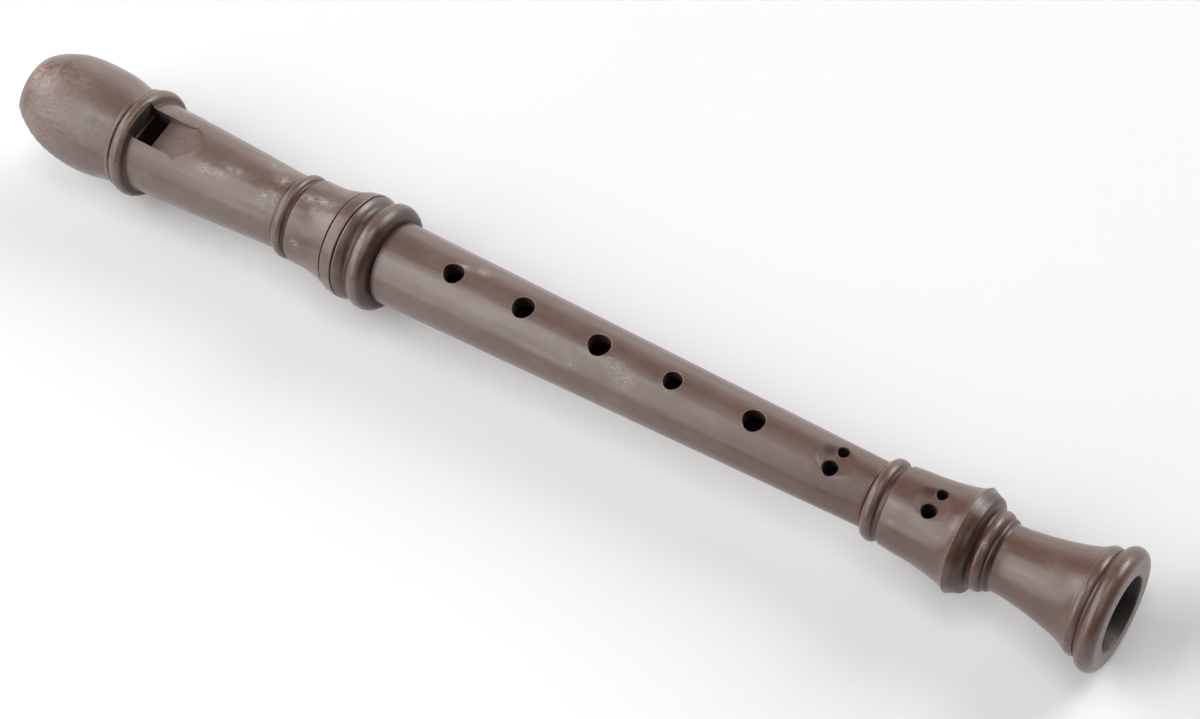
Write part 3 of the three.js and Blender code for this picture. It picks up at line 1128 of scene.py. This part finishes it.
# ---- Stage, in metres and watts ------------------------------------------------------------------

FLOOR_SIZE = 3

# The photograph's camera: its place, where its picture's right side, foot and depth point, and its
# lens in millimetres.
CAMERA_PLACE = (0.2919, -0.2495, 0.6173)
CAMERA_RIGHT = Vector((0.83011, 0.53577, -0.15450))
CAMERA_DOWN = Vector((0.40152, -0.76661, -0.50110))
CAMERA_AHEAD = Vector((-0.38691, 0.35393, -0.85149))
CAMERA_LENS = 85.5
CAMERA_SENSOR = 36

# The backdrop glows round one direction: full at the second cosine, and nothing at the first.
BACKDROP_TOWARDS = (0, 0.95, -0.3)
BACKDROP_COSINES = (0.45, 0.95)
BACKDROP_STRENGTH = 1.75
BACKDROP_COLOUR = (0.98, 0.99, 1.0, 1)

# The window's panes are one above another: (degrees down from straight overhead, watts).
WINDOW_PANES = [(15, 2.15), (30, 1.47), (45, 1.58), (60, 1.21), (75, 1.42)]
PANE_SIZE = (0.38, 0.32)
PANE_DISTANCE = 1.2
PANE_TOWARDS_BEAK = 0.38
PANE_AWAY = 0.925

# The other lights are square: (name, direction, distance, side, watts).
SOFT_LIGHTS = [
    ("fill_behind_beak", (-0.85, 0, 0.5), 5, 2.67, 96),
    ("fill_near_beak", (-0.75, -0.5, 0.45), 5, 2.67, 60),
    ("fill_far_side", (0.3, 0.8, 0.5), 3, 1.6, 56),
    ("overhead", (0.05, 0.1, 1), 1.4, 0.5, 3.4),
    ("overhead_near", (0.35, -0.35, 0.85), 1.4, 0.7, 2.3),
]


def make_floor():
    def fill(shape):
        bmesh.ops.create_grid(shape, x_segments=1, y_segments=1, size=FLOOR_SIZE)

    floor = mesh_object("floor", fill)
    floor.data.materials.append(pale_floor())


def make_camera():
    """The photograph's view: from above, beyond the bell and to the player's right."""
    data = bpy.data.cameras.new("camera")
    data.sensor_width = CAMERA_SENSOR
    data.lens = CAMERA_LENS
    camera = bpy.data.objects.new("camera", data)
    turn = Matrix((CAMERA_RIGHT, -CAMERA_DOWN, -CAMERA_AHEAD)).transposed().to_4x4()
    camera.matrix_world = Matrix.Translation(CAMERA_PLACE) @ turn
    bpy.context.scene.collection.objects.link(camera)
    bpy.context.scene.camera = camera


def make_world():
    """A dark room with a bright backdrop low down behind the recorder."""
    world = bpy.data.worlds.new("room")
    world.use_nodes = True
    tree = world.node_tree
    direction = tree.nodes.new("ShaderNodeTexCoord").outputs["Generated"]
    towards = tree.nodes.new("ShaderNodeVectorMath")
    towards.operation = "DOT_PRODUCT"
    towards.inputs[1].default_value = Vector(BACKDROP_TOWARDS).normalized()
    tree.links.new(direction, towards.inputs[0])
    spread = tree.nodes.new("ShaderNodeMapRange")
    spread.interpolation_type = "SMOOTHSTEP"
    spread.inputs["From Min"].default_value = BACKDROP_COSINES[0]
    spread.inputs["From Max"].default_value = BACKDROP_COSINES[1]
    spread.inputs["To Min"].default_value = 0.0
    spread.inputs["To Max"].default_value = BACKDROP_STRENGTH
    tree.links.new(towards.outputs["Value"], spread.inputs["Value"])
    tree.links.new(spread.outputs["Result"], tree.nodes["Background"].inputs["Strength"])
    tree.nodes["Background"].inputs["Color"].default_value = BACKDROP_COLOUR
    bpy.context.scene.world = world


def make_light(name, direction, distance, size, power):
    """A soft rectangular light that faces the recorder from a direction."""
    data = bpy.data.lights.new(name, "AREA")
    data.shape = "RECTANGLE"
    data.size, data.size_y = size
    data.energy = power
    lamp = bpy.data.objects.new(name, data)
    away = Vector(direction).normalized()
    lamp.location = away * distance
    lamp.rotation_euler = away.to_track_quat("Z", "Y").to_euler()
    bpy.context.scene.collection.objects.link(lamp)


def make_lights():
    """A tall window of five panes on the near side, and soft fill from the beak and from above."""
    for i, (degrees, power) in enumerate(WINDOW_PANES, start=1):
        lean = math.radians(degrees)
        direction = (
            -PANE_TOWARDS_BEAK,
            -PANE_AWAY * math.sin(lean),
            PANE_AWAY * math.cos(lean),
        )
        make_light(f"window_pane_{i}", direction, PANE_DISTANCE, PANE_SIZE, power)
    for name, direction, distance, side, power in SOFT_LIGHTS:
        make_light(name, direction, distance, (side, side), power)


# ---- Assembly ------------------------------------------------------------------------------------

# Cuts leave vertices closer together, and edges shorter, than these millimetres: they are merged.
# Corners that turn by more than the angle stay sharp.
MERGE_DISTANCE = 0.002
SHORTEST_EDGE = 0.001
SHARP_ANGLE = math.radians(32)


def finish_piece(piece, node, body, material):
    """Cleans a piece, stores its wear and painted light, moves it into the frame, and says what it
    stands for.
    """
    shape = bmesh.new()
    shape.from_mesh(piece.data)
    bmesh.ops.remove_doubles(shape, verts=shape.verts, dist=MERGE_DISTANCE)
    bmesh.ops.dissolve_degenerate(shape, edges=shape.edges, dist=SHORTEST_EDGE)
    shape.to_mesh(piece.data)
    shape.free()
    store_wear_and_painted_light(piece)
    piece.data.materials.clear()
    piece.data.materials.append(material)
    piece.data.shade_smooth()
    piece.data.set_sharp_from_angle(angle=SHARP_ANGLE)
    piece.data.transform(TO_FRAME)
    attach(piece, body)
    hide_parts(node)


def main():
    plastic, tan_cork = brown_plastic(), cork()
    head_pieces = {
        "beak_cap": beak_cap(),
        "windway_block": windway_block(),
        "head_joint": head_joint(),
        "socket_band": socket_band(),
        "socket_ring": socket_ring(),
    }
    for node, piece in head_pieces.items():
        finish_piece(piece, node, "head", plastic)
    finish_piece(middle_joint(), "middle_joint", "body", plastic)
    finish_piece(foot_joint(), "foot_joint", "foot", plastic)
    upper = lapping("fine_upper_lapping", UPPER_TENON)
    finish_piece(upper, "upper_lapping", "head_turner", tan_cork)
    lower = lapping("fine_lower_lapping", LOWER_TENON)
    finish_piece(lower, "lower_lapping", "foot_turner", tan_cork)
    make_floor()
    make_camera()
    make_world()
    make_lights()
    bpy.context.scene.view_settings.view_transform = "Standard"


main()
